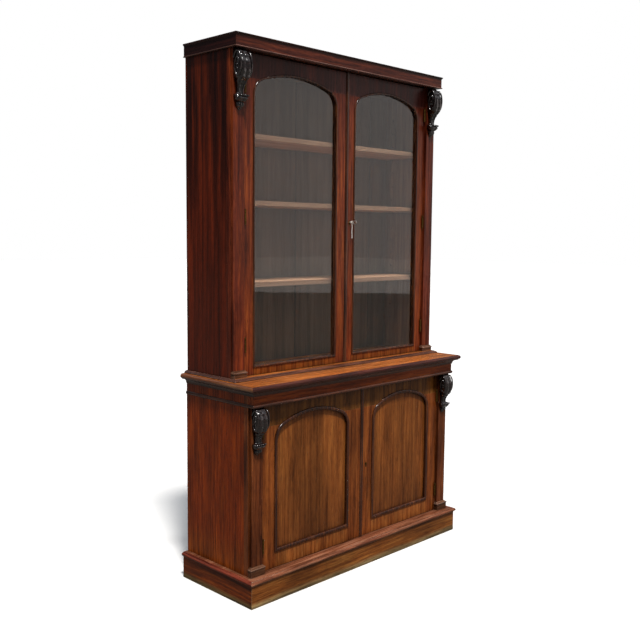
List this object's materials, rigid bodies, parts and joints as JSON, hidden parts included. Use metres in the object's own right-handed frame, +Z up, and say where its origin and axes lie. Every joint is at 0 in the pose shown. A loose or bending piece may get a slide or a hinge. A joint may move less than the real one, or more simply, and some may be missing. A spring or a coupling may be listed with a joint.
{
  "type": "bookcase with adjustable shelves",
  "caption": "Tall two-part glazed bookcase with arched doors, adjustable shelves, scroll corbels, a moulded waist and a panelled cupboard base.",
  "frame": {"origin": "on the floor, at the middle of the outline's width and depth", "axes": "+Z up, the glazed front faces -Y, +X to the right of someone facing the front"},
  "size_m": [1.415, 0.49, 2.35],
  "materials": {
    "polished_mahogany": "French-polished Cuban mahogany, dark red-brown with straight figure",
    "mahogany_mouldings": "polished mahogany mouldings, darker in the hollows",
    "mahogany_top": "polished mahogany, sun-faded to orange-brown",
    "carved_mahogany": "carved mahogany, near black with old polish",
    "door_panel_veneer": "flame-figured mahogany veneer, polished",
    "shelf_wood": "plain mahogany shelf boards, pale pinkish brown, waxed",
    "inner_wood": "stained pine boards, matt",
    "clear_glass": "clear drawn sheet glass with faint waves",
    "old_brass": "cast brass, dulled",
    "bright_steel": "filed steel, worn bright",
    "white_string": "twisted cotton string"
  },
  "bodies": {
    "carcass": {"base_back_boards": "inner_wood", "base_bottom_board": "mahogany_top", "base_corbels": "carved_mahogany", "base_front_rails": "polished_mahogany", "base_pilasters": "polished_mahogany", "base_shelf": "shelf_wood", "base_sides": "polished_mahogany", "case_back_boards": "inner_wood", "case_bottom_board": "mahogany_top", "case_corbels": "carved_mahogany", "case_foot_mouldings": "mahogany_mouldings", "case_pilasters": "polished_mahogany", "case_sides": "polished_mahogany", "case_top_board": "inner_wood", "cornice_dust_board": "inner_wood", "cornice_fascia": "polished_mahogany", "cornice_soffit": "inner_wood", "hinge_fixed_leaves": "old_brass", "hinge_pins": "old_brass", "joining_screws": "bright_steel", "pilaster_feet": "mahogany_mouldings", "plinth_boards": "polished_mahogany", "plinth_mouldings": "mahogany_mouldings", "shelf_pegs": "old_brass", "waist_mouldings": "mahogany_mouldings", "waist_top": "mahogany_top"},
    "glazed_left": {"glazed_left_frame": "polished_mahogany", "glazed_left_glass": "clear_glass", "glazed_left_beads": "mahogany_mouldings", "glazed_left_hinge_leaves": "old_brass", "upper_bolt_plates": "old_brass"},
    "glazed_right": {"glazed_right_frame": "polished_mahogany", "glazed_right_glass": "clear_glass", "glazed_right_beads": "mahogany_mouldings", "glazed_right_hinge_leaves": "old_brass", "glazed_right_astragal": "mahogany_mouldings", "upper_lock_case": "old_brass", "key_string": "white_string", "string_knots": "white_string"},
    "panel_left": {"panel_left_frame": "polished_mahogany", "panel_left_panel": "door_panel_veneer", "panel_left_moulding": "mahogany_mouldings", "panel_left_hinge_leaves": "old_brass", "lower_bolt_plates": "old_brass"},
    "panel_right": {"panel_right_frame": "polished_mahogany", "panel_right_panel": "door_panel_veneer", "panel_right_moulding": "mahogany_mouldings", "panel_right_hinge_leaves": "old_brass", "panel_right_astragal": "mahogany_mouldings", "lower_lock_case": "old_brass"},
    "upper_key": {"key": "bright_steel"},
    "upper_lock_bolt": {"upper_lock_bolt": "bright_steel"},
    "lower_lock_bolt": {"lower_lock_bolt": "bright_steel"},
    "upper_slide_bolt_top": {"upper_slide_bolt_top": "old_brass"},
    "upper_slide_bolt_foot": {"upper_slide_bolt_foot": "old_brass"},
    "lower_slide_bolt_top": {"lower_slide_bolt_top": "old_brass"},
    "lower_slide_bolt_foot": {"lower_slide_bolt_foot": "old_brass"},
    "shelf_1": {"shelf_1": "shelf_wood"},
    "shelf_2": {"shelf_2": "shelf_wood"},
    "shelf_3": {"shelf_3": "shelf_wood"}
  },
  "joints": [
    {"name": "glazed_left_hinge", "type": "hinge", "parent": "carcass", "child": "glazed_left", "pos_m": [-0.5945, -0.064, 1.618], "axis": [0, 0, -1], "range_deg": [0, 95]},
    {"name": "glazed_right_hinge", "type": "hinge", "parent": "carcass", "child": "glazed_right", "pos_m": [0.5945, -0.064, 1.618], "axis": [0, 0, 1], "range_deg": [0, 95]},
    {"name": "panel_left_hinge", "type": "hinge", "parent": "carcass", "child": "panel_left", "pos_m": [-0.5945, -0.181, 0.478], "axis": [0, 0, -1], "range_deg": [0, 95]},
    {"name": "panel_right_hinge", "type": "hinge", "parent": "carcass", "child": "panel_right", "pos_m": [0.5945, -0.181, 0.478], "axis": [0, 0, 1], "range_deg": [0, 95]},
    {"name": "upper_key_turn", "type": "hinge", "parent": "glazed_right", "child": "upper_key", "pos_m": [0.048, -0.059, 1.606], "axis": [0, -1, 0], "range_deg": [0, 180]},
    {"name": "upper_lock_bolt_slide", "type": "slide", "parent": "glazed_right", "child": "upper_lock_bolt", "axis": [-1, 0, 0], "range_m": [0, 0.011]},
    {"name": "lower_lock_bolt_slide", "type": "slide", "parent": "panel_right", "child": "lower_lock_bolt", "axis": [-1, 0, 0], "range_m": [0, 0.011]},
    {"name": "upper_slide_bolt_top_slide", "type": "slide", "parent": "glazed_left", "child": "upper_slide_bolt_top", "axis": [0, 0, 1], "range_m": [0, 0.012]},
    {"name": "upper_slide_bolt_foot_slide", "type": "slide", "parent": "glazed_left", "child": "upper_slide_bolt_foot", "axis": [0, 0, -1], "range_m": [0, 0.011]},
    {"name": "lower_slide_bolt_top_slide", "type": "slide", "parent": "panel_left", "child": "lower_slide_bolt_top", "axis": [0, 0, 1], "range_m": [0, 0.012]},
    {"name": "lower_slide_bolt_foot_slide", "type": "slide", "parent": "panel_left", "child": "lower_slide_bolt_foot", "axis": [0, 0, -1], "range_m": [0, 0.012]},
    {"name": "shelf_1_lift", "type": "slide", "parent": "carcass", "child": "shelf_1", "axis": [0, 0, 1], "range_m": [0, 0.28]},
    {"name": "shelf_2_lift", "type": "slide", "parent": "carcass", "child": "shelf_2", "axis": [0, 0, 1], "range_m": [0, 0.21]},
    {"name": "shelf_3_lift", "type": "slide", "parent": "carcass", "child": "shelf_3", "axis": [0, 0, 1], "range_m": [0, 0.21]}
  ],
  "couplings": [
    {"joint": "upper_key_turn", "follows": "upper_lock_bolt_slide", "rad_per_m": 285.59}
  ]
}
